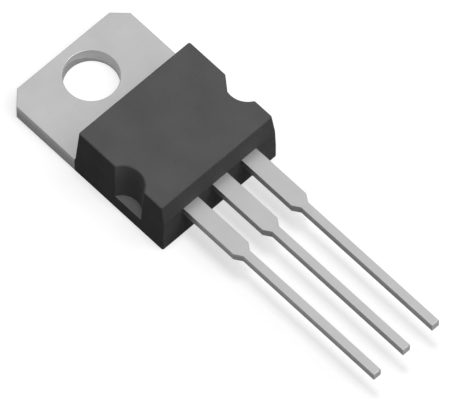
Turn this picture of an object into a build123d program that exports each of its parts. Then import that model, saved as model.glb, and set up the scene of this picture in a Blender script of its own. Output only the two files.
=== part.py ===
"""Through-hole power mosfet in a TO-220 style package, lying on its metal back.

The origin is the screw hole's centre on the mounting face, which is the back of the tab.
+Z points from the mounting face to the top of the moulding, +Y from the leads to the tab,
and X runs across the three leads. All lengths are in millimetres.
"""
from build123d import *
from math import radians, tan
import os

# --- Screw tab -------------------------------------------------------------------------------
body_width = 10.0  # across the package, tab and moulding alike
tab_thickness = 1.35
tab_exposed_length = 6.3  # from the tab's free end to the moulding
tab_corner_cut = 0.95  # 45 degree cuts at the free end
tab_edge_radius = 0.07  # rounding left by the punch on the upper edges
screw_hole_diameter = 3.7
screw_hole_to_end = 2.6  # from the hole's centre to the tab's free end
hole_rim_break = 0.06

# --- Moulded body ----------------------------------------------------------------------------
body_length = 8.1
body_height = 4.8
side_draft = 2.6  # degrees, above the tab
back_draft = 4.3  # degrees, above the tab
front_draft = 8.7  # degrees, above the leads
mould_radius = 0.12
notch_radius = 1.49  # half-round notches in both sides, at the top of the body
notch_axis_outside = 0.52  # from the side of the package out to the notch's axis
notch_from_front = 3.2
notch_draft = 3.4  # degrees

# --- Leads -----------------------------------------------------------------------------------
lead_pitch = 2.54
lead_thickness = 0.7
lead_top_height = 3.1  # upper face of the leads, which is also the mould's parting plane
lead_length = 16.9  # outside the moulding
shoulder_width = 1.3
shoulder_length = 4.55
shoulder_taper_length = 0.53
lead_width = 0.6  # beyond the shoulder
lead_edge_break = 0.04
lead_root_length = 0.2  # the shoulder's reach into the moulding

# --- Stampings inside the moulding -----------------------------------------------------------
paddle_side_wall = 1.0  # plastic beside the paddle
paddle_front_wall = 2.2  # plastic between the paddle and the front
lock_step_width = 0.3  # ledge under the paddle's rim, gripped by the plastic
lock_step_height = 0.4
lock_groove_depth = 0.2  # 90 degree groove across the paddle, just inside the moulding
lock_groove_inside = 0.7
neck_bend_radius = 0.3  # inside the bends of the drain lead's neck
neck_flat = 0.4  # level stretch from either end of the neck to its bend
post_width = 2.3
post_length = 1.4
post_front_wall = 0.6  # plastic between the post and the front
post_corner_radius = 0.2

# --- Chip and bonds --------------------------------------------------------------------------
die_width = 4.2
die_length = 3.2
die_thickness = 0.28
die_from_paddle_front = 0.9
solder_thickness = 0.06
solder_margin = 0.12  # solder seen all round the chip
source_wire_diameter = 0.38
source_wire_spacing = 0.95
source_pad_x = 0.9  # middle of the chip's source pad
source_foot_inset = 1.1  # from the chip's front edge
gate_wire_diameter = 0.15
gate_pad_inset = 0.5  # from the chip's front and left edges
wire_rise_run = 1.6  # from a chip foot to the top of the loop
wire_loop_height = 0.55  # above the posts, before rounding
wire_loop_radius = 0.6
bond_foot_length = 2.8  # foot sizes, in wire diameters
bond_foot_width = 1.5
bond_foot_height = 0.55

# --- Derived places --------------------------------------------------------------------------
half_width = body_width / 2
tab_end_y = screw_hole_to_end
body_back_y = tab_end_y - tab_exposed_length
body_front_y = body_back_y - body_length
shoulder_end_y = body_front_y - shoulder_length
taper_end_y = shoulder_end_y - shoulder_taper_length
lead_tip_y = body_front_y - lead_length
lead_root_y = body_front_y + lead_root_length
lead_under_height = lead_top_height - lead_thickness
paddle_width = body_width - 2 * paddle_side_wall
paddle_front_y = body_front_y + paddle_front_wall
paddle_length = body_back_y - paddle_front_y
post_centre_y = body_front_y + post_front_wall + post_length / 2
die_front_y = paddle_front_y + die_from_paddle_front
die_top_height = tab_thickness + solder_thickness + die_thickness


def is_upright(edge):
    """True for the corner edges of the moulding, drafted or plumb."""
    return abs((edge % 0.5).Z) > 0.9


def lead_strip(centre_x):
    """The part of a lead that leaves the moulding: shoulder, taper and pin, with broken edges."""
    with BuildPart() as strip:
        with BuildSketch(Plane.XY.offset(lead_under_height)):
            with BuildLine():
                Polyline(
                    (0, lead_root_y),
                    (shoulder_width / 2, lead_root_y),
                    (shoulder_width / 2, shoulder_end_y),
                    (lead_width / 2, taper_end_y),
                    (lead_width / 2, lead_tip_y),
                    (0, lead_tip_y),
                )
                mirror(about=Plane.YZ)
            make_face()
        extrude(amount=lead_thickness)
        outline_edges = strip.edges().filter_by(Axis.Z, reverse=True)
        chamfer(outline_edges.group_by(Axis.Y)[:-1], lead_edge_break)
    return Pos(centre_x, 0) * strip.part


def outer_lead(centre_x):
    """A flat stamped lead that ends inside the moulding in a wide post for the bonds."""
    with BuildPart() as lead:
        add(lead_strip(centre_x))
        with BuildSketch(Plane.XY.offset(lead_under_height)):
            with Locations((centre_x, lead_root_y)):
                Rectangle(shoulder_width, post_centre_y - lead_root_y, align=(Align.CENTER, Align.MIN))
            with Locations((centre_x, post_centre_y)):
                RectangleRounded(post_width, post_length, post_corner_radius)
        extrude(amount=lead_thickness)
    return lead.part


def bond_wire(diameter, chip_foot, post_foot, chip, post):
    """A looped wire pressed onto the chip and the post, with a flattened foot at each end."""
    along = Vector(post_foot[0] - chip_foot[0], post_foot[1] - chip_foot[1], 0)
    across = along.cross(Vector(0, 0, 1))
    with BuildPart() as wire:
        with BuildLine(Plane(origin=(chip_foot[0], chip_foot[1], 0), x_dir=along, z_dir=across)) as loop:
            FilletPolyline(
                (0, chip_foot[2]),
                (wire_rise_run, post_foot[2] + wire_loop_height),
                (along.length, post_foot[2]),
                radius=wire_loop_radius,
            )
        with BuildSketch(Plane(origin=loop.line @ 0, z_dir=loop.line % 0)):
            Circle(diameter / 2)
        sweep()
        for foot in (chip_foot, post_foot):
            with BuildSketch(Plane(origin=foot, x_dir=along)):
                Rectangle(bond_foot_length * diameter, bond_foot_width * diameter)
            extrude(amount=bond_foot_height * diameter)
        add(chip, mode=Mode.SUBTRACT)
        add(post, mode=Mode.SUBTRACT)
    return wire.part


# --- Tab, die paddle, neck and centre lead: one stamping of two thicknesses --------------------
with BuildPart() as tab_and_drain_lead:
    with BuildSketch():
        with Locations((0, tab_end_y)):
            tab = Rectangle(body_width, tab_exposed_length, align=(Align.CENTER, Align.MAX))
        chamfer(tab.vertices().group_by(Axis.Y)[-1], tab_corner_cut)
        with Locations((0, body_back_y)):
            Rectangle(paddle_width, paddle_length, align=(Align.CENTER, Align.MAX))
        Circle(screw_hole_diameter / 2, mode=Mode.SUBTRACT)
    extrude(amount=tab_thickness)
    upper_edges = tab_and_drain_lead.edges().group_by(Axis.Z)[-1]
    tab_rim = upper_edges.filter_by(GeomType.LINE).filter_by(lambda edge: edge.center().Y > body_back_y)
    fillet(tab_rim, tab_edge_radius)
    chamfer(upper_edges.filter_by(GeomType.CIRCLE), hole_rim_break)
    # groove across the paddle and a step under its rim, for the plastic to grip
    with BuildSketch(Plane.YZ):
        with Locations((body_back_y - lock_groove_inside, tab_thickness)):
            RegularPolygon(lock_groove_depth, 4)
    extrude(amount=half_width, both=True, mode=Mode.SUBTRACT)
    with BuildSketch():
        with Locations((0, body_back_y)):
            Rectangle(paddle_width, paddle_length, align=(Align.CENTER, Align.MAX))
            Rectangle(
                paddle_width - 2 * lock_step_width,
                paddle_length - lock_step_width,
                align=(Align.CENTER, Align.MAX),
                mode=Mode.SUBTRACT,
            )
    extrude(amount=lock_step_height, mode=Mode.SUBTRACT)
    # neck: a thin strip that leaves the paddle's upper face and climbs to the leads' level
    with BuildSketch(Plane.YZ):
        with BuildLine():
            paddle_level = tab_thickness - lead_thickness / 2
            lead_level = lead_top_height - lead_thickness / 2
            FilletPolyline(
                (paddle_front_y + lead_thickness, paddle_level),
                (paddle_front_y - neck_flat, paddle_level),
                (lead_root_y + neck_flat, lead_level),
                (lead_root_y, lead_level),
                radius=neck_bend_radius + lead_thickness / 2,
            )
        trace(line_width=lead_thickness)
    extrude(amount=shoulder_width / 2, both=True)
    add(lead_strip(0))

# --- Gate and source leads -----------------------------------------------------------------------
gate_lead = outer_lead(-lead_pitch)
source_lead = outer_lead(lead_pitch)

# --- Chip and the solder that holds it -------------------------------------------------------------
with BuildPart() as die_attach_solder:
    with BuildSketch(Plane.XY.offset(tab_thickness)):
        with Locations((0, die_front_y + die_length / 2)):
            RectangleRounded(die_width + 2 * solder_margin, die_length + 2 * solder_margin, solder_margin)
    extrude(amount=solder_thickness)

with BuildPart() as silicon_die:
    with BuildSketch(Plane.XY.offset(tab_thickness + solder_thickness)):
        with Locations((0, die_front_y + die_length / 2)):
            Rectangle(die_width, die_length)
    extrude(amount=die_thickness)

# --- Bond wires --------------------------------------------------------------------------------------
source_bond_wires = [
    bond_wire(
        source_wire_diameter,
        (source_pad_x + step, die_front_y + source_foot_inset, die_top_height),
        (lead_pitch + step, post_centre_y, lead_top_height),
        silicon_die.part,
        source_lead,
    )
    for step in (-source_wire_spacing / 2, source_wire_spacing / 2)
]
gate_bond_wire = bond_wire(
    gate_wire_diameter,
    (gate_pad_inset - die_width / 2, die_front_y + gate_pad_inset, die_top_height),
    (-lead_pitch, post_centre_y, lead_top_height),
    silicon_die.part,
    gate_lead,
)

# --- Moulded body --------------------------------------------------------------------------------------
with BuildPart() as moulded_body:
    # drafted block above the tab's level: its side view crossed with its front view
    back_top_y = body_back_y - (body_height - tab_thickness) * tan(radians(back_draft))
    front_top_y = body_front_y + (body_height - lead_top_height) * tan(radians(front_draft))
    top_half_width = half_width - (body_height - tab_thickness) * tan(radians(side_draft))
    with BuildSketch(Plane.YZ):
        with BuildLine():
            Polyline(
                (body_back_y, tab_thickness),
                (back_top_y, body_height),
                (front_top_y, body_height),
                (body_front_y, lead_top_height),
                (body_front_y, tab_thickness),
                close=True,
            )
        make_face()
    extrude(amount=half_width, both=True)
    with BuildSketch(Plane.XZ.offset(-body_back_y)):
        with BuildLine():
            Polyline(
                (0, tab_thickness),
                (half_width, tab_thickness),
                (top_half_width, body_height),
                (0, body_height),
            )
            mirror(about=Plane.YZ)
        make_face()
    extrude(amount=body_length, mode=Mode.INTERSECT)
    fillet(moulded_body.edges().filter_by(is_upright), mould_radius)
    footprint = moulded_body.faces().sort_by(Axis.Z)[0]
    # half-round side notches, down to the tab's level
    with BuildSketch(Plane.XY.offset(body_height)):
        notch_x = half_width + notch_axis_outside
        notch_y = body_front_y + notch_from_front
        with Locations((-notch_x, notch_y), (notch_x, notch_y)):
            Circle(notch_radius)
    extrude(amount=tab_thickness - body_height, taper=notch_draft, mode=Mode.SUBTRACT)
    notch_edges = moulded_body.edges(Select.LAST).filter_by(is_upright)
    top_edges = moulded_body.edges().filter_by_position(Axis.Z, body_height, body_height)
    fillet(notch_edges + top_edges, mould_radius)
    # plain block round the paddle: the same footprint, but square where it meets the tab
    extrude(footprint, amount=tab_thickness)
    with BuildSketch():
        with Locations((0, body_back_y)):
            Rectangle(body_width, body_length / 2, align=(Align.CENTER, Align.MAX))
    extrude(amount=tab_thickness)
    # the plastic closes round everything that it seals
    add([tab_and_drain_lead.part, gate_lead, source_lead], mode=Mode.SUBTRACT)
    add([die_attach_solder.part, silicon_die.part], mode=Mode.SUBTRACT)
    add([*source_bond_wires, gate_bond_wire], mode=Mode.SUBTRACT)

# --- Files -----------------------------------------------------------------------------------------------
os.makedirs("parts", exist_ok=True)
pieces = {
    "tab_and_drain_lead": tab_and_drain_lead.part,
    "gate_lead": gate_lead,
    "source_lead": source_lead,
    "die_attach_solder": die_attach_solder.part,
    "silicon_die": silicon_die.part,
    "source_bond_wire_1": source_bond_wires[0],
    "source_bond_wire_2": source_bond_wires[1],
    "gate_bond_wire": gate_bond_wire,
    "moulded_body": moulded_body.part,
}
for name, piece in pieces.items():
    piece.label = name
    export_step(piece, f"parts/{name}.step")
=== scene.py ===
"""Dresses a through-hole power mosfet: its stampings, its moulding, their finishes, and the studio.

The part lies on its metal back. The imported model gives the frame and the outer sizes; the moulding
and the three visible stampings are made again here with true curves and broken edges. The chip, its
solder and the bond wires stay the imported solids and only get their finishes.

X runs across the three leads, +Y from the leads to the tab, and +Z up from the mounting face.
"""
from math import atan2, cos, hypot, pi, radians, sin, sqrt, tan

import bmesh
import bpy
from bmesh.types import BMFace, BMVert
from mathutils import Matrix, Vector


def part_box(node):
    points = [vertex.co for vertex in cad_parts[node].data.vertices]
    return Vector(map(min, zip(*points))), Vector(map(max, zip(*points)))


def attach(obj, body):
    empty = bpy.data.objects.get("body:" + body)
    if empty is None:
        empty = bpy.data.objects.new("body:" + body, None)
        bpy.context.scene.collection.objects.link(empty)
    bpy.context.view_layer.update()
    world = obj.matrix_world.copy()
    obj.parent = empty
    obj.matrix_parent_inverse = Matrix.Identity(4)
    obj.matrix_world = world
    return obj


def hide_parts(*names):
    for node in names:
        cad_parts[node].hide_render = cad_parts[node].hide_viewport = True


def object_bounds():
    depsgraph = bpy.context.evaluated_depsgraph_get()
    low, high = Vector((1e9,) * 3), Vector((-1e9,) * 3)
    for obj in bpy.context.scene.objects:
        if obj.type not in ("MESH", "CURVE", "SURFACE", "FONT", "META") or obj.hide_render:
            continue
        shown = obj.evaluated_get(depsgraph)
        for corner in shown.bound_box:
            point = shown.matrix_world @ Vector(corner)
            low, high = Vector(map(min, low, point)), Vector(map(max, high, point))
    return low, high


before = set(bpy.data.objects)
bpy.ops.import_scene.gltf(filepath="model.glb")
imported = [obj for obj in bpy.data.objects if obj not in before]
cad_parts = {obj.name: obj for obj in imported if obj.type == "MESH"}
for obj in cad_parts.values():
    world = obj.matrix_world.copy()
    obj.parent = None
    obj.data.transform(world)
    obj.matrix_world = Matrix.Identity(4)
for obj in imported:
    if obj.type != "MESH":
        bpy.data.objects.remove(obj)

cad_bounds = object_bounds()

# --- Sizes, in metres ------------------------------------------------------------------------
MM = 0.001
body_low, body_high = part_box("moulded_body")
metal_low, metal_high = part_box("tab_and_drain_lead")
gate_low, gate_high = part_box("gate_lead")
source_low, source_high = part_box("source_lead")

HALF_WIDTH = body_high.x
BODY_BACK = body_high.y
BODY_FRONT = body_low.y
BODY_TOP = body_high.z
TAB_END = metal_high.y
LEAD_TIP = metal_low.y
LEAD_TOP = metal_high.z

TAB_THICKNESS = 1.35 * MM
TAB_CORNER_CUT = 0.95 * MM
TAB_EDGE = 0.07 * MM
UNDER_EDGE = 0.03 * MM  # the tab's lower edges and the hole's lower rim
HOLE_RADIUS = 1.85 * MM
HOLE_RIM = 0.06 * MM

SIDE_DRAFT = radians(2.6)
BACK_DRAFT = radians(4.3)
FRONT_DRAFT = radians(8.7)
NOTCH_DRAFT = radians(3.4)
MOULD_EDGE = 0.12 * MM
CORNER_RADIUS = 0.14 * MM
NOTCH_RADIUS = 1.49 * MM
NOTCH_X = HALF_WIDTH + 0.52 * MM  # the notch's axis, outside the package
NOTCH_Y = BODY_FRONT + 3.2 * MM

LEAD_THICKNESS = gate_high.z - gate_low.z
LEAD_UNDER = LEAD_TOP - LEAD_THICKNESS
SHOULDER_HALF = 0.65 * MM
SHOULDER_END = BODY_FRONT - 4.55 * MM
PIN_START = SHOULDER_END - 0.53 * MM
PIN_HALF = 0.3 * MM
LEAD_EDGE = 0.04 * MM
LEAD_ROOT = BODY_FRONT + 0.2 * MM  # where a lead starts to change shape inside the moulding

PADDLE_HALF = HALF_WIDTH - 1.0 * MM
PADDLE_FRONT = BODY_FRONT + 2.2 * MM
LOCK_STEP = 0.3 * MM
LOCK_STEP_HEIGHT = 0.4 * MM
GROOVE_DEPTH = 0.2 * MM
GROOVE_Y = BODY_BACK - 0.7 * MM
POST_HALF = 1.15 * MM
POST_FRONT = BODY_FRONT + 0.6 * MM
POST_BACK = POST_FRONT + 1.4 * MM
POST_CORNER = 0.2 * MM
NECK_FLAT = 0.4 * MM
NECK_BEND = 0.3 * MM + LEAD_THICKNESS / 2  # to the middle of the strip

TAB_TEAR = 0.9 * MM  # the levels above which the press's cuts are smooth
HOLE_TEAR = 0.8 * MM
LEAD_TEAR = LEAD_TOP - 0.25 * MM

SHARP_ANGLE = radians(32)
CREASE_ANGLE = radians(1)
ROUND_STEPS = 6  # facets round a small corner or a bend
NOTCH_STEPS = 40
HOLE_STEPS = 96
NEAR = 0.001 * MM  # places closer than this are the same
WELD = 0.0002 * MM  # points closer than this become one


# --- Metal and plastic shapes ----------------------------------------------------------------
def only(kind, geometry):
    """The points or faces among what an operator returns."""
    return [item for item in geometry if isinstance(item, kind)]


def arc(shape, centre, radius, start, sweep, steps):
    """Spins a point into an arc at one level and returns the arc's points in order."""
    first = shape.verts.new(Vector(centre) + radius * Vector((cos(start), sin(start), 0)))
    drawn_before = len(shape.verts)
    bmesh.ops.spin(shape, geom=[first], cent=centre, axis=(0, 0, 1), angle=sweep, steps=steps)
    return [first] + list(shape.verts)[drawn_before:]


def chain(shape, *arcs):
    """Joins arcs end to end with straight runs and returns all their points in order."""
    points = [point for part in arcs for point in part]
    for one, other in zip(points, points[1:]):
        if not shape.edges.get((one, other)):
            shape.edges.new((one, other))
    return points


def edges_along(shape, points):
    """The edges that join each point of a chain to the next."""
    return [shape.edges.get(pair) for pair in zip(points, points[1:])]


def draw_out(shape, faces, vector):
    """Draws faces out into a bar and returns its new end faces."""
    drawn = bmesh.ops.extrude_face_region(shape, geom=faces)["geom"]
    bmesh.ops.translate(shape, verts=only(BMVert, drawn), vec=vector)
    bmesh.ops.recalc_face_normals(shape, faces=shape.faces[:])
    return only(BMFace, drawn)


def run_on(shape, end, vector):
    """Lengthens a bar at its end and returns the new end."""
    grown = draw_out(shape, end, vector)
    bmesh.ops.delete(shape, geom=end, context="FACES_ONLY")
    return grown


def bend_on(shape, end, centre, angle):
    """Carries a bar round a bend, about a line across the leads, and returns the new end."""
    turned = bmesh.ops.spin(shape, geom=end, cent=centre, axis=(1, 0, 0), angle=angle,
                            steps=ROUND_STEPS)
    bmesh.ops.delete(shape, geom=end, context="FACES_ONLY")
    return only(BMFace, turned["geom_last"])


def sheet_metal(shape, outline, bottom, top):
    """Fills an outline and raises it into a plate between two levels."""
    face = shape.faces.new([shape.verts.new((x, y, bottom)) for x, y in outline])
    draw_out(shape, [face], (0, 0, top - bottom))


def round_edges(shape, edges, radius, segments):
    """Rounds edges of a shape to a radius."""
    bmesh.ops.bevel(shape, geom=edges, offset=radius, offset_type="OFFSET", segments=segments,
                    profile=0.5, affect="EDGES", material=-1, clamp_overlap=True)


def at(value, target):
    """True if a measure is at its target."""
    return abs(value - target) < NEAR


def both(edge, axis, target):
    """True if both ends of an edge lie at the same place along an axis."""
    return all(at(point.co[axis], target) for point in edge.verts)


def solid(name, shape):
    """Keeps a finished shape as an object of the frame."""
    mesh = bpy.data.meshes.new(name)
    shape.to_mesh(mesh)
    shape.free()
    piece = bpy.data.objects.new(name, mesh)
    bpy.context.scene.collection.objects.link(piece)
    return piece


def gather(name, pieces):
    """One tool from several solids, which may touch. The solids are kept."""
    joined = bmesh.new()
    for piece in pieces:
        copy = bmesh.new()
        copy.from_mesh(piece.data)
        bmesh.ops.remove_doubles(copy, verts=copy.verts[:], dist=WELD)
        merged = bpy.data.meshes.new(name)
        copy.to_mesh(merged)
        copy.free()
        joined.from_mesh(merged)
        bpy.data.meshes.remove(merged)
    return solid(name, joined)


def combine(piece, tool, operation):
    """Joins another solid to a piece, or cuts it out of the piece, and keeps the result."""
    step = piece.modifiers.new("combine", "BOOLEAN")
    step.object = tool
    step.operation = operation
    step.solver = "EXACT"
    step.use_self = True
    graph = bpy.context.evaluated_depsgraph_get()
    mesh = bpy.data.meshes.new_from_object(piece.evaluated_get(graph))
    piece.modifiers.clear()
    used = piece.data
    piece.data = mesh
    bpy.data.meshes.remove(used)
    mesh.name = piece.name


def discard(piece):
    """Removes a tool that has done its work."""
    mesh = piece.data
    bpy.data.objects.remove(piece)
    bpy.data.meshes.remove(mesh)


def smooth(piece, creases=()):
    """Blends the rounded edges into the flats, and keeps corners and the creased levels sharp."""
    shape = bmesh.new()
    shape.from_mesh(piece.data)
    bmesh.ops.remove_doubles(shape, verts=shape.verts[:], dist=WELD)
    bmesh.ops.dissolve_degenerate(shape, edges=shape.edges[:], dist=WELD)
    for face in shape.faces:
        face.smooth = True
    for edge in shape.edges:
        creased = any(both(edge, 2, level) for level in creases)
        edge.smooth = edge.calc_face_angle(pi) < (CREASE_ANGLE if creased else SHARP_ANGLE)
    shape.to_mesh(piece.data)
    shape.free()
    flats = piece.modifiers.new("flat faces stay flat", "WEIGHTED_NORMAL")
    flats.mode = "FACE_AREA"
    flats.weight = 100
    flats.keep_sharp = True


# --- Stampings ---------------------------------------------------------------------------------
def lead_outline(centre, inner):
    """A lead's outline: its +X side from the tip to the inner end, and back down the other."""
    half = [(PIN_HALF, LEAD_TIP), (PIN_HALF, PIN_START), (SHOULDER_HALF, SHOULDER_END)] + inner
    return [(centre + x, y) for x, y in half] + [(centre - x, y) for x, y in reversed(half)]


def break_lead_edges(shape):
    """Breaks the upper and lower edges of a lead where it shows."""
    showing = [edge for edge in shape.edges
               if (both(edge, 2, LEAD_UNDER) or both(edge, 2, LEAD_TOP))
               and min(point.co.y for point in edge.verts) < BODY_FRONT - LEAD_EDGE
               and max(point.co.y for point in edge.verts) < POST_FRONT]
    round_edges(shape, showing, LEAD_EDGE, 3)


def outer_lead(name, centre):
    """A flat lead that ends inside the moulding in a wide post."""
    shape = bmesh.new()
    inner = [(SHOULDER_HALF, LEAD_ROOT), (SHOULDER_HALF, POST_FRONT), (POST_HALF, POST_FRONT),
             (POST_HALF, POST_BACK)]
    sheet_metal(shape, lead_outline(centre, inner), LEAD_UNDER, LEAD_TOP)
    corners = [edge for edge in shape.edges
               if all(at(abs(point.co.x - centre), POST_HALF) for point in edge.verts)
               and at(edge.verts[0].co.y, edge.verts[1].co.y)]
    round_edges(shape, corners, POST_CORNER, ROUND_STEPS)
    break_lead_edges(shape)
    return solid(name, shape)


def centre_lead(name):
    """The middle lead, which bends down inside the moulding to meet the paddle."""
    shape = bmesh.new()
    sheet_metal(shape, lead_outline(0, [(SHOULDER_HALF, LEAD_ROOT)]), LEAD_UNDER, LEAD_TOP)
    break_lead_edges(shape)
    drop = LEAD_TOP - TAB_THICKNESS
    run = (PADDLE_FRONT - NECK_FLAT) - (LEAD_ROOT + NECK_FLAT)
    slope = atan2(drop, run)
    set_in = NECK_BEND * tan(slope / 2)
    centre_level = LEAD_TOP - LEAD_THICKNESS / 2
    start = LEAD_ROOT + NECK_FLAT - set_in
    finish = PADDLE_FRONT - NECK_FLAT + set_in
    down = Vector((0, cos(slope), -sin(slope)))

    end = [face for face in shape.faces if all(at(point.co.y, LEAD_ROOT) for point in face.verts)]
    end = run_on(shape, end, Vector((0, start - LEAD_ROOT, 0)))
    end = bend_on(shape, end, (0, start, centre_level - NECK_BEND), -slope)
    end = run_on(shape, end, (hypot(run, drop) - 2 * set_in) * down)
    end = bend_on(shape, end, (0, finish, centre_level - drop + NECK_BEND), slope)
    run_on(shape, end, Vector((0, PADDLE_FRONT + LEAD_THICKNESS - finish, 0)))
    bmesh.ops.recalc_face_normals(shape, faces=shape.faces[:])
    return solid(name, shape)


def screw_hole_punch():
    """The tool that cuts the screw hole and breaks both its rims."""
    shape = bmesh.new()
    reach = 0.5 * MM
    rim_turns = (pi / 8, pi / 4, 3 * pi / 8, pi / 2)
    profile = [(HOLE_RADIUS + HOLE_RIM, -reach), (HOLE_RADIUS + UNDER_EDGE, 0),
               (HOLE_RADIUS, UNDER_EDGE), (HOLE_RADIUS, TAB_THICKNESS - HOLE_RIM)]
    profile += [(HOLE_RADIUS + HOLE_RIM * (1 - cos(turn)),
                 TAB_THICKNESS - HOLE_RIM * (1 - sin(turn))) for turn in rim_turns]
    profile.append((HOLE_RADIUS + HOLE_RIM, TAB_THICKNESS + reach))
    points = [shape.verts.new((x, 0, z)) for x, z in profile]
    line = [shape.edges.new(pair) for pair in zip(points, points[1:])]
    bmesh.ops.spin(shape, geom=points + line, cent=(0, 0, 0), axis=(0, 0, 1), angle=2 * pi,
                   steps=HOLE_STEPS, use_merge=True)
    bmesh.ops.holes_fill(shape, edges=shape.edges[:], sides=0)
    bmesh.ops.recalc_face_normals(shape, faces=shape.faces[:])
    return solid("screw_hole_punch", shape)


def lock_step_tool():
    """The ring that the press takes off under the paddle's rim, so that the plastic grips it."""
    shape = bmesh.new()
    clear = 0.2 * MM
    inside, outside = PADDLE_HALF - LOCK_STEP, PADDLE_HALF + clear
    outline = [(outside, BODY_BACK), (outside, PADDLE_FRONT - clear),
               (-outside, PADDLE_FRONT - clear), (-outside, BODY_BACK), (-inside, BODY_BACK),
               (-inside, PADDLE_FRONT + LOCK_STEP), (inside, PADDLE_FRONT + LOCK_STEP),
               (inside, BODY_BACK)]
    sheet_metal(shape, outline, -clear, LOCK_STEP_HEIGHT)
    return solid("lock_step_tool", shape)


def groove_tool():
    """The square bar that cuts the groove across the paddle, just inside the moulding."""
    shape = bmesh.new()
    side = Matrix.Translation((-HALF_WIDTH, GROOVE_Y, TAB_THICKNESS))
    upright = Matrix.Rotation(pi / 2, 4, "Y")
    bmesh.ops.create_circle(shape, cap_ends=True, segments=4, radius=GROOVE_DEPTH,
                            matrix=side @ upright)
    draw_out(shape, shape.faces[:], (2 * HALF_WIDTH, 0, 0))
    return solid("groove_tool", shape)


def tab_and_paddle(name):
    """The thick stamping: screw tab, shoulders against the moulding, and the die paddle."""
    shape = bmesh.new()
    half = [(HALF_WIDTH - TAB_CORNER_CUT, TAB_END), (HALF_WIDTH, TAB_END - TAB_CORNER_CUT),
            (HALF_WIDTH, BODY_BACK), (PADDLE_HALF, BODY_BACK), (PADDLE_HALF, PADDLE_FRONT)]
    other_half = [(-x, y) for x, y in reversed(half)]
    sheet_metal(shape, half + other_half, 0, TAB_THICKNESS)
    for level, radius, segments in ((TAB_THICKNESS, TAB_EDGE, 4), (0, UNDER_EDGE, 3)):
        rim = [edge for edge in shape.edges if both(edge, 2, level)
               and max(point.co.y for point in edge.verts) > BODY_BACK + LOCK_STEP]
        round_edges(shape, rim, radius, segments)
    return solid(name, shape)


# --- Moulding ----------------------------------------------------------------------------------
def half_outline(shape, level, drawn_in=0.0):
    """The moulding's outline at a level on the +X side: its points in order, front to back.

    drawn_in is how far the rounded top edge has come in.
    """
    rise = level - TAB_THICKNESS
    side = HALF_WIDTH - rise * tan(SIDE_DRAFT) - drawn_in
    back = BODY_BACK - rise * tan(BACK_DRAFT) - drawn_in
    front = BODY_FRONT + max(level - LEAD_TOP, 0) * tan(FRONT_DRAFT) + drawn_in
    corner = CORNER_RADIUS - drawn_in
    bowl = NOTCH_RADIUS - (BODY_TOP - level) * tan(NOTCH_DRAFT) + drawn_in
    lip_x = side - corner
    lip_reach = sqrt((bowl + corner) ** 2 - (NOTCH_X - lip_x) ** 2)
    turn = atan2(lip_reach, NOTCH_X - lip_x)
    middle = [shape.verts.new((0, front, level))]
    front_corner = arc(shape, (side - corner, front + corner, level), corner, -pi / 2, pi / 2,
                       ROUND_STEPS)
    notch = [
        arc(shape, (lip_x, NOTCH_Y - lip_reach, level), corner, 0, turn, ROUND_STEPS),
        arc(shape, (NOTCH_X, NOTCH_Y, level), bowl, pi + turn, -2 * turn, NOTCH_STEPS)[1:-1],
        arc(shape, (lip_x, NOTCH_Y + lip_reach, level), corner, -turn, turn, ROUND_STEPS),
    ]
    back_corner = arc(shape, (side - corner, back - corner, level), corner, 0, pi / 2,
                      ROUND_STEPS)
    last = [shape.verts.new((0, back, level))]
    return chain(shape, middle, front_corner, *notch, back_corner, last)


def moulding(name):
    """The epoxy body: plumb to the tab's level and drafted above it, with a notch in each side."""
    shape = bmesh.new()
    turns = [step * pi / 2 / ROUND_STEPS for step in range(ROUND_STEPS + 1)]
    levels = [(TAB_THICKNESS, 0), (LEAD_TOP, 0)]
    levels += [(BODY_TOP - MOULD_EDGE * (1 - sin(turn)), MOULD_EDGE * (1 - cos(turn)))
               for turn in turns]
    outlines = [half_outline(shape, *level) for level in levels]
    for lower, upper in zip(outlines, outlines[1:]):
        wall = edges_along(shape, lower) + edges_along(shape, upper)
        bmesh.ops.bridge_loops(shape, edges=wall)

    # the ledge at the tab's level: the notches' floors, and square corners against the tab
    ledge = bmesh.ops.extrude_edge_only(shape, edges=edges_along(shape, outlines[0]))["geom"]
    points = only(BMVert, ledge)
    across_notch = [point for point in points
                    if abs(point.co.y - NOTCH_Y) < NOTCH_RADIUS and point.co.x > HALF_WIDTH / 2]
    bmesh.ops.scale(shape, verts=across_notch, vec=(0, 1, 1),
                    space=Matrix.Translation((-HALF_WIDTH, 0, 0)))
    square = Vector((HALF_WIDTH, BODY_BACK, TAB_THICKNESS))
    corner = [point for point in points if (point.co - square).length < CORNER_RADIUS + NEAR]
    bmesh.ops.pointmerge(shape, verts=corner, merge_co=square)
    bmesh.ops.remove_doubles(shape, verts=shape.verts[:], dist=WELD)

    # the plumb block round the paddle
    rim = [edge for edge in shape.edges if edge.is_boundary and both(edge, 2, TAB_THICKNESS)]
    dropped = bmesh.ops.extrude_edge_only(shape, edges=rim)["geom"]
    bmesh.ops.translate(shape, verts=only(BMVert, dropped), vec=(0, 0, -TAB_THICKNESS))

    # the other half, the top and the underside
    bmesh.ops.mirror(shape, geom=shape.verts[:] + shape.edges[:] + shape.faces[:], axis="X",
                     merge_dist=WELD)
    bmesh.ops.holes_fill(shape, edges=shape.edges[:], sides=0)
    bmesh.ops.dissolve_degenerate(shape, edges=shape.edges[:], dist=WELD)
    bmesh.ops.recalc_face_normals(shape, faces=shape.faces[:])
    return solid(name, shape)


# --- Finishes ----------------------------------------------------------------------------------
def place(tree, kind, feeds=(), **settings):
    """Adds a node with its settings, and feeds its sockets with values or other nodes' outputs."""
    node = tree.nodes.new("ShaderNode" + kind)
    for setting, value in settings.items():
        setattr(node, setting, value)
    for socket, value in dict(feeds).items():
        if isinstance(value, bpy.types.NodeSocket):
            tree.links.new(value, node.inputs[socket])
        else:
            node.inputs[socket].default_value = value
    return node


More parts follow.
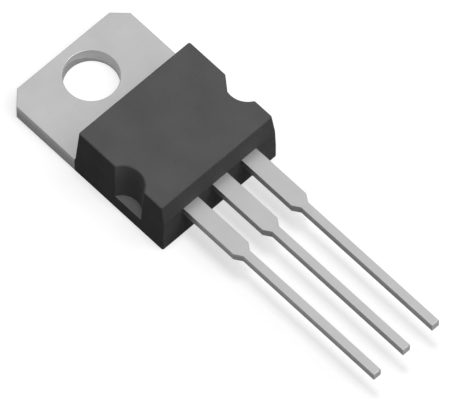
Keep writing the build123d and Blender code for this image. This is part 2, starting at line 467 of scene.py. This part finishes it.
def calc(tree, operation, first, second=0.0, third=0.0, clamp=False):
    """One sum on values that change over the surface."""
    node = place(tree, "Math", {0: first, 1: second, 2: third}, operation=operation,
                 use_clamp=clamp)
    return node.outputs[0]


def weigh(tree, *parts):
    """The sum of several values, each with its own share."""
    total = calc(tree, "MULTIPLY", *parts[0])
    for value, share in parts[1:]:
        total = calc(tree, "MULTIPLY_ADD", value, share, total)
    return total


def rescale(tree, value, low, high, to_low=0.0, to_high=1.0):
    """Maps a value from one range onto another, and holds it level past the ends."""
    node = place(tree, "MapRange", {"Value": value, "From Min": low, "From Max": high,
                                    "To Min": to_low, "To Max": to_high})
    return node.outputs["Result"]


def spread(tree, value, low, high):
    """Maps a noise value, which stays about a half, onto a range."""
    return rescale(tree, value, 0.3, 0.7, low, high)


def blend(tree, amount, low, high):
    """A shade between two others, by an amount that changes over the surface."""
    node = place(tree, "MixRGB", {"Fac": amount, "Color1": low, "Color2": high})
    return node.outputs["Color"]


def grey(level):
    """A neutral colour at a level of reflectance."""
    return level, level, level, 1


def where(tree, socket="Object"):
    """The surface's place in the frame, in metres, or with "Normal" the way that it faces."""
    return place(tree, "TexCoord").outputs[socket]


def by_axis(tree, vector):
    """The X, Y and Z of a vector."""
    return place(tree, "SeparateXYZ", {"Vector": vector}).outputs


def noise(tree, vector, scale, detail):
    """A soft random pattern about a half."""
    node = place(tree, "TexNoise", {"Vector": vector, "Scale": scale, "Detail": detail})
    return node.outputs["Fac"]


def streaks(tree, *lengths):
    """A random pattern drawn out along each axis to that axis's length."""
    counted = [calc(tree, "DIVIDE", part, length)
               for part, length in zip(by_axis(tree, where(tree)), lengths)]
    drawn = place(tree, "CombineXYZ", dict(zip("XYZ", counted))).outputs[0]
    return noise(tree, drawn, 1.0, 2)


def effect(name, inputs, outputs):
    """Starts a shared effect and returns its tree with its input and output sockets."""
    tree = bpy.data.node_groups.new(name, "ShaderNodeTree")
    for label, value in inputs.items():
        socket = tree.interface.new_socket(name=label, in_out="INPUT",
                                           socket_type="NodeSocketFloat")
        socket.default_value = value
    for label in outputs:
        tree.interface.new_socket(name=label, in_out="OUTPUT", socket_type="NodeSocketFloat")
    given = tree.nodes.new("NodeGroupInput").outputs
    made = tree.nodes.new("NodeGroupOutput").inputs
    return tree, given, made


def fine_grain():
    """Fine speckle over a broad, faint mottle. Both come out as values about a half."""
    tree, given, made = effect("fine grain", {"Grain size": 0.05 * MM, "Mottle size": 2 * MM},
                               ("Grain", "Mottle"))
    for label, size, detail in (("Grain", "Grain size", 3), ("Mottle", "Mottle size", 2)):
        per_metre = calc(tree, "DIVIDE", 1.0, given[size])
        tree.links.new(noise(tree, where(tree), per_metre, detail), made[label])
    return tree


def rolling_marks():
    """Faint parallel lines that the rolls leave along the strip, which runs across the leads."""
    tree, given, made = effect("rolling marks", {"Spacing": 0.06 * MM, "Length": 3 * MM},
                               ("Lines",))
    lines = streaks(tree, given["Length"], given["Spacing"], given["Spacing"])
    tree.links.new(lines, made["Lines"])
    return tree


def rubbed_edges():
    """A mask that is 1 on the edges and fades out within the reach."""
    tree, given, made = effect("rubbed edges", {"Reach": 0.1 * MM, "Strength": 3.0}, ("Edge",))
    rounded = place(tree, "Bevel", {"Radius": given["Reach"]}, samples=6).outputs[0]
    straight = place(tree, "NewGeometry").outputs["Normal"]
    facing = place(tree, "VectorMath", {0: rounded, 1: straight}, operation="DOT_PRODUCT")
    turned = calc(tree, "SUBTRACT", 1.0, facing.outputs["Value"])
    strong = calc(tree, "MULTIPLY", turned, given["Strength"], clamp=True)
    tree.links.new(strong, made["Edge"])
    return tree


def sheared_sides():
    """Where a press has sheared the strip: a mask for the upright faces, the lines down them, and a
    mask for the land, the smooth band that the punch rubs before the metal tears. Through the
    upright-face mask the tin finishes paint their sides darker, partly as bare sheared metal and
    partly as painted shade.

    The land ends at the tear level, which may slope across X. On the screw hole's wall the slope
    makes the wall lighter towards +X: a painted gradient of light.
    """
    tree, given, made = effect(
        "sheared sides", {"Spacing": 0.05 * MM, "Tear level": 1 * MM, "Tear slope": 0.0},
        ("Side", "Lines", "Land"))
    facing_up = calc(tree, "ABSOLUTE", by_axis(tree, where(tree, "Normal"))["Z"])
    tree.links.new(rescale(tree, facing_up, 0.75, 0.25), made["Side"])

    lines = streaks(tree, given["Spacing"], given["Spacing"], 1.5 * MM)
    tree.links.new(lines, made["Lines"])

    parts = by_axis(tree, where(tree))
    ragged = noise(tree, where(tree), 1 / (0.3 * MM), 3)
    level = calc(tree, "MULTIPLY_ADD", parts["X"], given["Tear slope"], given["Tear level"])
    above = calc(tree, "SUBTRACT", parts["Z"], level)
    torn = calc(tree, "MULTIPLY_ADD", ragged, 0.25 * MM, above)
    tree.links.new(rescale(tree, torn, 0.09 * MM, 0.16 * MM), made["Land"])
    return tree


GRAIN = fine_grain()
ROLLED = rolling_marks()
RUBBED = rubbed_edges()
SHEARED = sheared_sides()


def use(tree, shared, **values):
    """Places a shared effect in a material with that material's values."""
    node = tree.nodes.new("ShaderNodeGroup")
    node.node_tree = shared
    for label, value in values.items():
        node.inputs[label.replace("_", " ")].default_value = value
    return node.outputs


def finish(name, **constants):
    """Starts a material and returns it with its tree and its surface shader."""
    material = bpy.data.materials.new(name)
    material.use_nodes = True
    tree = material.node_tree
    surface = tree.nodes["Principled BSDF"]
    for socket, value in constants.items():
        surface.inputs[socket.replace("_", " ")].default_value = value
    return material, tree, surface


def bump(tree, surface, height, depth):
    """Gives a surface fine relief of a depth in metres."""
    relief = place(tree, "Bump", {"Height": height, "Distance": depth, "Strength": 1.0})
    tree.links.new(relief.outputs["Normal"], surface.inputs["Normal"])


def tin_plate(name, sheared_and_painted_tone, rough, tear, slope=0.0, land=1.07, dull=0.445, light=0.505, rubbed=0.57):
    """Tin on copper: fine grain and rolling marks on the faces, shear lines down the sheared sides.

    dull, light and rubbed are the shades of the faces and edges, and the torn sides have a shade
    of their own: partly the darker bare sheared metal, partly painted shade on the upright faces.
    Above the level of the tear the sides are smooth, and lighter by the land's share.
    """
    material, tree, surface = finish(name, Metallic=0.8)
    grain = use(tree, GRAIN, Grain_size=0.035 * MM, Mottle_size=1.6 * MM)
    rolled = use(tree, ROLLED, Spacing=0.05 * MM, Length=2.5 * MM)["Lines"]
    sheared = use(tree, SHEARED, Spacing=0.045 * MM, Tear_level=tear, Tear_slope=slope)
    edge = use(tree, RUBBED, Reach=0.08 * MM, Strength=2.5)["Edge"]

    face = weigh(tree, (grain["Mottle"], 0.45), (grain["Grain"], 0.25), (rolled, 0.3))
    plain = blend(tree, spread(tree, face, 0, 1), grey(dull), grey(light))
    worn = blend(tree, calc(tree, "MULTIPLY", edge, 0.5), plain, grey(rubbed))
    lined = spread(tree, sheared["Lines"], 0, 1)
    # torn sides: bare sheared metal, darkened further by painted shade on the upright faces
    torn = blend(tree, lined, grey(sheared_and_painted_tone * 0.85), grey(sheared_and_painted_tone * 1.08))
    smooth_land = blend(tree, lined, grey(sheared_and_painted_tone * (land - 0.05)), grey(sheared_and_painted_tone * (land + 0.05)))
    side = blend(tree, sheared["Land"], torn, smooth_land)
    tree.links.new(blend(tree, sheared["Side"], worn, side), surface.inputs["Base Color"])

    on_land = calc(tree, "MULTIPLY", sheared["Land"], sheared["Side"])
    matt = weigh(tree, (spread(tree, face, rough + 0.05, rough - 0.05), 1.0), (edge, -0.08),
                 (sheared["Side"], 0.1), (on_land, -0.12))
    tree.links.new(matt, surface.inputs["Roughness"])

    on_torn = calc(tree, "SUBTRACT", sheared["Side"], on_land)
    scored = calc(tree, "MULTIPLY", sheared["Lines"], on_torn)
    relief = weigh(tree, (grain["Grain"], 0.6), (rolled, 0.4), (scored, 1.5))
    bump(tree, surface, relief, 0.002 * MM)
    return material


def off_the_cores(tree):
    """1 on the notches' floors and walls, which the mould's cores make, and 0 past their lips."""
    parts = by_axis(tree, where(tree))
    along = calc(tree, "SUBTRACT", calc(tree, "ABSOLUTE", parts["X"]), NOTCH_X)
    across = calc(tree, "SUBTRACT", parts["Y"], NOTCH_Y)
    flat = place(tree, "CombineXYZ", {"X": along, "Y": across}).outputs[0]
    reach = place(tree, "VectorMath", {0: flat}, operation="LENGTH").outputs["Value"]
    below_top = calc(tree, "SUBTRACT", BODY_TOP, parts["Z"])
    at_the_top = calc(tree, "MULTIPLY_ADD", below_top, tan(NOTCH_DRAFT), reach)
    inside = rescale(tree, at_the_top, NOTCH_RADIUS + MOULD_EDGE / 2, NOTCH_RADIUS)
    raised = calc(tree, "GREATER_THAN", parts["Z"], TAB_THICKNESS - UNDER_EDGE / 2)
    return calc(tree, "MULTIPLY", inside, raised)


def moulded_epoxy(name, dark, light, rubbed, notch_painted_light):
    """Dark mould-finished epoxy: fine even grain, a soft sheen, edges a little lighter.

    In the notches, where the mould's cores are smooth-finished, it is smoother; there it is
    also painted lighter: painted light standing in for light that the notch walls keep out.
    """
    material, tree, surface = finish(name, Specular_IOR_Level=0.02)
    grain = use(tree, GRAIN, Grain_size=0.08 * MM, Mottle_size=2.2 * MM)
    edge = use(tree, RUBBED, Reach=0.1 * MM, Strength=1.5)["Edge"]
    # the notches: smoother relief, and painted light
    cored = off_the_cores(tree)

    shade = weigh(tree, (grain["Mottle"], 0.4), (grain["Grain"], 0.6))
    mixed = spread(tree, shade, 0, 1)
    plain = blend(tree, mixed, grey(dark), grey(light))
    # painted light: the notches' floors and walls are lighter than the rest of the epoxy
    painted_light_in_notches = blend(tree, mixed, grey(dark * notch_painted_light), grey(light * notch_painted_light))
    worn = blend(tree, edge, blend(tree, cored, plain, painted_light_in_notches), grey(rubbed))
    tree.links.new(worn, surface.inputs["Base Color"])
    tree.links.new(spread(tree, shade, 0.68, 0.58), surface.inputs["Roughness"])

    relief_left = calc(tree, "MULTIPLY_ADD", cored, -0.6, 1.0)
    bump(tree, surface, calc(tree, "MULTIPLY", grain["Grain"], relief_left), 0.02 * MM)
    return material


def soft_metal(name, dull, light, rough, depth):
    """A soft bare metal, such as solder or bonding wire: a faint mottle over a satin grain."""
    material, tree, surface = finish(name, Metallic=1.0)
    grain = use(tree, GRAIN, Grain_size=0.02 * MM, Mottle_size=0.3 * MM)
    shade = weigh(tree, (grain["Mottle"], 0.6), (grain["Grain"], 0.4))
    plain = blend(tree, spread(tree, shade, 0, 1), grey(dull), grey(light))
    tree.links.new(plain, surface.inputs["Base Color"])
    matt = spread(tree, shade, rough + 0.06, rough - 0.06)
    tree.links.new(matt, surface.inputs["Roughness"])
    bump(tree, surface, grain["Grain"], depth)
    return material


def diced_silicon(name, cell):
    """A die: fine rows of metal-covered cells on its top, and dark sawn silicon on its sides."""
    material, tree, surface = finish(name, Metallic=0.85)
    top = calc(tree, "GREATER_THAN", by_axis(tree, where(tree, "Normal"))["Z"], 0.5)
    rows = place(tree, "TexWave", {"Vector": where(tree), "Scale": pi / 10 / cell},
                 wave_type="BANDS", bands_direction="X").outputs["Fac"]
    grain = use(tree, GRAIN, Grain_size=0.01 * MM, Mottle_size=0.8 * MM)
    metal = blend(tree, rows, grey(0.55), grey(0.70))
    sawn = blend(tree, spread(tree, grain["Grain"], 0, 1), grey(0.10), grey(0.16))
    tree.links.new(blend(tree, top, sawn, metal), surface.inputs["Base Color"])
    matt = weigh(tree, (spread(tree, grain["Mottle"], 0.34, 0.24), 1.0), (top, -0.06))
    tree.links.new(matt, surface.inputs["Roughness"])
    cells = calc(tree, "MULTIPLY", rows, top)
    bump(tree, surface, weigh(tree, (cells, 0.7), (grain["Grain"], 0.3)), 0.001 * MM)
    return material


# the tab's upright sides are painted darker: partly bare sheared metal, partly painted shade
TAB_TIN = tin_plate("matte tin plate", sheared_and_painted_tone=0.24, rough=0.48, tear=TAB_TEAR)
# painted light: the screw hole's wall is lighter than the other torn sides, and lighter towards +X
PUNCHED_TIN_PAINTED_LIGHT = tin_plate("punched wall painted light", sheared_and_painted_tone=0.31, rough=0.42, tear=HOLE_TEAR, slope=-0.35,
                        land=1.25)
# the leads' upright sides are painted darker: partly bare sheared metal, partly painted shade
LEAD_TIN = tin_plate("dipped tin", sheared_and_painted_tone=0.185, rough=0.38, tear=LEAD_TEAR)
# painted light: the cropped lead ends are lighter than the leads' long sides
CROPPED_TIN_PAINTED_LIGHT = tin_plate("cropped ends painted light", sheared_and_painted_tone=0.31, rough=0.36, tear=LEAD_TEAR)
# the epoxy's notches carry painted light
EPOXY = moulded_epoxy("moulded epoxy", dark=0.082, light=0.113, rubbed=0.13, notch_painted_light=1.55)


# --- The part, assembled -----------------------------------------------------------------------
def in_the_hole(corner):
    """True on the wall of the screw hole and on its broken rims."""
    return hypot(corner.x, corner.y) < HOLE_RADIUS + HOLE_RIM + NEAR


def in_front(corner):
    """True on the part of a lead that shows, and a little way into the moulding."""
    return corner.y < LEAD_ROOT + LEAD_EDGE


def on_the_tip(corner):
    """True where a lead was cropped to length."""
    return corner.y < LEAD_TIP + LEAD_EDGE / 2


def coat(piece, material, covers=None):
    """Gives a piece a finish, or only those of its faces that are covered at every corner."""
    mesh = piece.data
    mesh.materials.append(material)
    for face in mesh.polygons:
        if not covers or all(covers(mesh.vertices[corner].co) for corner in face.vertices):
            face.material_index = len(mesh.materials) - 1


def fit(piece, node, creases=()):
    """Seats a finished piece in the frame in place of its plain solid, ready for its coats."""
    smooth(piece, creases)
    piece.data.materials.clear()
    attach(piece, "root")
    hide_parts(node)


def dress_inside(material, *nodes):
    """Gives a finish to solids of the frame, which the moulding hides."""
    for node in nodes:
        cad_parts[node].material_slots[0].material = material


stamping = tab_and_paddle("drain_stamping")
for tool, operation in ((screw_hole_punch(), "DIFFERENCE"), (lock_step_tool(), "DIFFERENCE"),
                        (groove_tool(), "DIFFERENCE"), (centre_lead("centre_lead"), "UNION")):
    combine(stamping, tool, operation)
    discard(tool)

gate = outer_lead("gate_strip", (gate_low.x + gate_high.x) / 2)
source = outer_lead("source_strip", (source_low.x + source_high.x) / 2)

body = moulding("epoxy_body")
die_and_wires = ["silicon_die", "die_attach_solder", "source_bond_wire_1", "source_bond_wire_2",
                 "gate_bond_wire"]
moulded_in = [stamping, gate, source] + [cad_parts[node] for node in die_and_wires]
inserts = gather("inserts", moulded_in)
combine(body, inserts, "DIFFERENCE")
discard(inserts)

fit(stamping, "tab_and_drain_lead")
coat(stamping, TAB_TIN)
# the hole's wall carries painted light
coat(stamping, PUNCHED_TIN_PAINTED_LIGHT, in_the_hole)
fit(gate, "gate_lead")
fit(source, "source_lead")
# each lead's cropped end gets its painted light
for lead in (stamping, gate, source):
    coat(lead, LEAD_TIN, in_front if lead is stamping else None)
    coat(lead, CROPPED_TIN_PAINTED_LIGHT, on_the_tip)
fit(body, "moulded_body", creases=(TAB_THICKNESS, LEAD_TOP))
coat(body, EPOXY)

dress_inside(diced_silicon("diced silicon", cell=0.04 * MM), "silicon_die")
dress_inside(soft_metal("soft solder", 0.34, 0.44, 0.42, 0.004 * MM), "die_attach_solder")
dress_inside(soft_metal("aluminium wire", 0.66, 0.76, 0.28, 0.001 * MM),
             "source_bond_wire_1", "source_bond_wire_2", "gate_bond_wire")


# --- Studio --------------------------------------------------------------------------------------
LIT_PLACE = Vector((0, -10, 1)) * MM
VIEWED_PLACE = Vector((-0.12, -12.53, 1.4)) * MM
VIEWED_WIDTH = 28.63 * MM
SENSOR_WIDTH = 36  # both this and the lens are in millimetres
FLOOR_HALF = 1.0
FLOOR_GAP = 0.005 * MM  # below the part


def seen_or_mirrored(tree):
    """1 for what the camera, a reflection or a clear body sees, 0 for light that only bounces."""
    path = place(tree, "LightPath").outputs
    seen = calc(tree, "ADD", path["Is Camera Ray"], path["Is Glossy Ray"])
    return calc(tree, "ADD", seen, path["Is Transmission Ray"], clamp=True)


def paper_floor():
    """White paper that keeps the part's soft shadow and throws little light back."""
    material = bpy.data.materials.new("white paper")
    material.use_nodes = True
    tree = material.node_tree
    tree.nodes.clear()
    path = place(tree, "LightPath").outputs
    lit = place(tree, "BsdfDiffuse", {"Color": grey(0.5)}).outputs[0]
    glow = place(tree, "Emission", {"Color": grey(1), "Strength": 0.58}).outputs[0]
    viewed = place(tree, "AddShader", {0: lit, 1: glow}).outputs[0]
    deep = place(tree, "BsdfDiffuse", {"Color": grey(0.92)}).outputs[0]
    faint = place(tree, "Emission", {"Color": grey(1), "Strength": 0.08}).outputs[0]
    mirrored = place(tree, "AddShader", {0: deep, 1: faint}).outputs[0]
    bounced = place(tree, "BsdfDiffuse", {"Color": grey(0.1)}).outputs[0]
    reflected = calc(tree, "MAXIMUM", path["Is Glossy Ray"], path["Is Transmission Ray"])
    behind = place(tree, "MixShader", {0: reflected, 1: bounced, 2: mirrored}).outputs[0]
    shown = place(tree, "MixShader", {0: path["Is Camera Ray"], 1: behind, 2: viewed}).outputs[0]
    place(tree, "OutputMaterial", {"Surface": shown})
    return material


def floor():
    """A sheet of the white paper just under the part."""
    shape = bmesh.new()
    bmesh.ops.create_grid(shape, x_segments=1, y_segments=1, size=FLOOR_HALF)
    level = cad_bounds[0].z - FLOOR_GAP
    bmesh.ops.translate(shape, verts=shape.verts[:], vec=(0, 0, level))
    sheet = solid("floor", shape)
    sheet.data.materials.append(paper_floor())


def sky(strength):
    """Even light from all round, and plain white wherever it is seen or mirrored."""
    world = bpy.data.worlds.new("soft room")
    bpy.context.scene.world = world
    world.use_nodes = True
    tree = world.node_tree
    tree.nodes.clear()
    dim = place(tree, "Background", {"Color": grey(1), "Strength": strength}).outputs[0]
    white = place(tree, "Background", {"Color": grey(1), "Strength": 1.0}).outputs[0]
    mixed = place(tree, "MixShader", {0: seen_or_mirrored(tree), 1: dim, 2: white}).outputs[0]
    place(tree, "OutputWorld", {"Surface": mixed})


def stand(name, data, target, towards, distance):
    """Stands a lamp or a camera away from its target, aimed back at it."""
    placed = bpy.data.objects.new(name, data)
    bpy.context.scene.collection.objects.link(placed)
    placed.location = target + towards * distance
    placed.rotation_euler = towards.to_track_quat("Z", "Y").to_euler()
    return placed


def lamp(name, direction, distance, size, power, mirrored=True):
    """A square soft light aimed at the part. It may be kept out of reflections."""
    light = bpy.data.lights.new(name, "AREA")
    light.shape = "SQUARE"
    light.size = size
    light.energy = power
    placed = stand(name, light, LIT_PLACE, Vector(direction).normalized(), distance)
    placed.visible_glossy = mirrored


def camera(azimuth, elevation, lens):
    """A long lens at a turn from the leads and a height above the floor, both in degrees."""
    turn = radians(azimuth)
    rise = radians(elevation)
    back = Vector((sin(turn) * cos(rise), -cos(turn) * cos(rise), sin(rise)))
    data = bpy.data.cameras.new("camera")
    data.sensor_width = SENSOR_WIDTH
    data.lens = lens
    distance = lens / SENSOR_WIDTH * VIEWED_WIDTH
    bpy.context.scene.camera = stand("camera", data, VIEWED_PLACE, back, distance)


camera(azimuth=-43.8, elevation=60.4, lens=1000)
floor()
sky(strength=0.09)
lamp("key", direction=(0.24, -0.40, 0.88), distance=0.4, size=0.30, power=0.85)
lamp("overhead", direction=(0, 0, 1), distance=0.4, size=0.10, power=0.74, mirrored=False)
bpy.context.scene.view_settings.view_transform = "Standard"
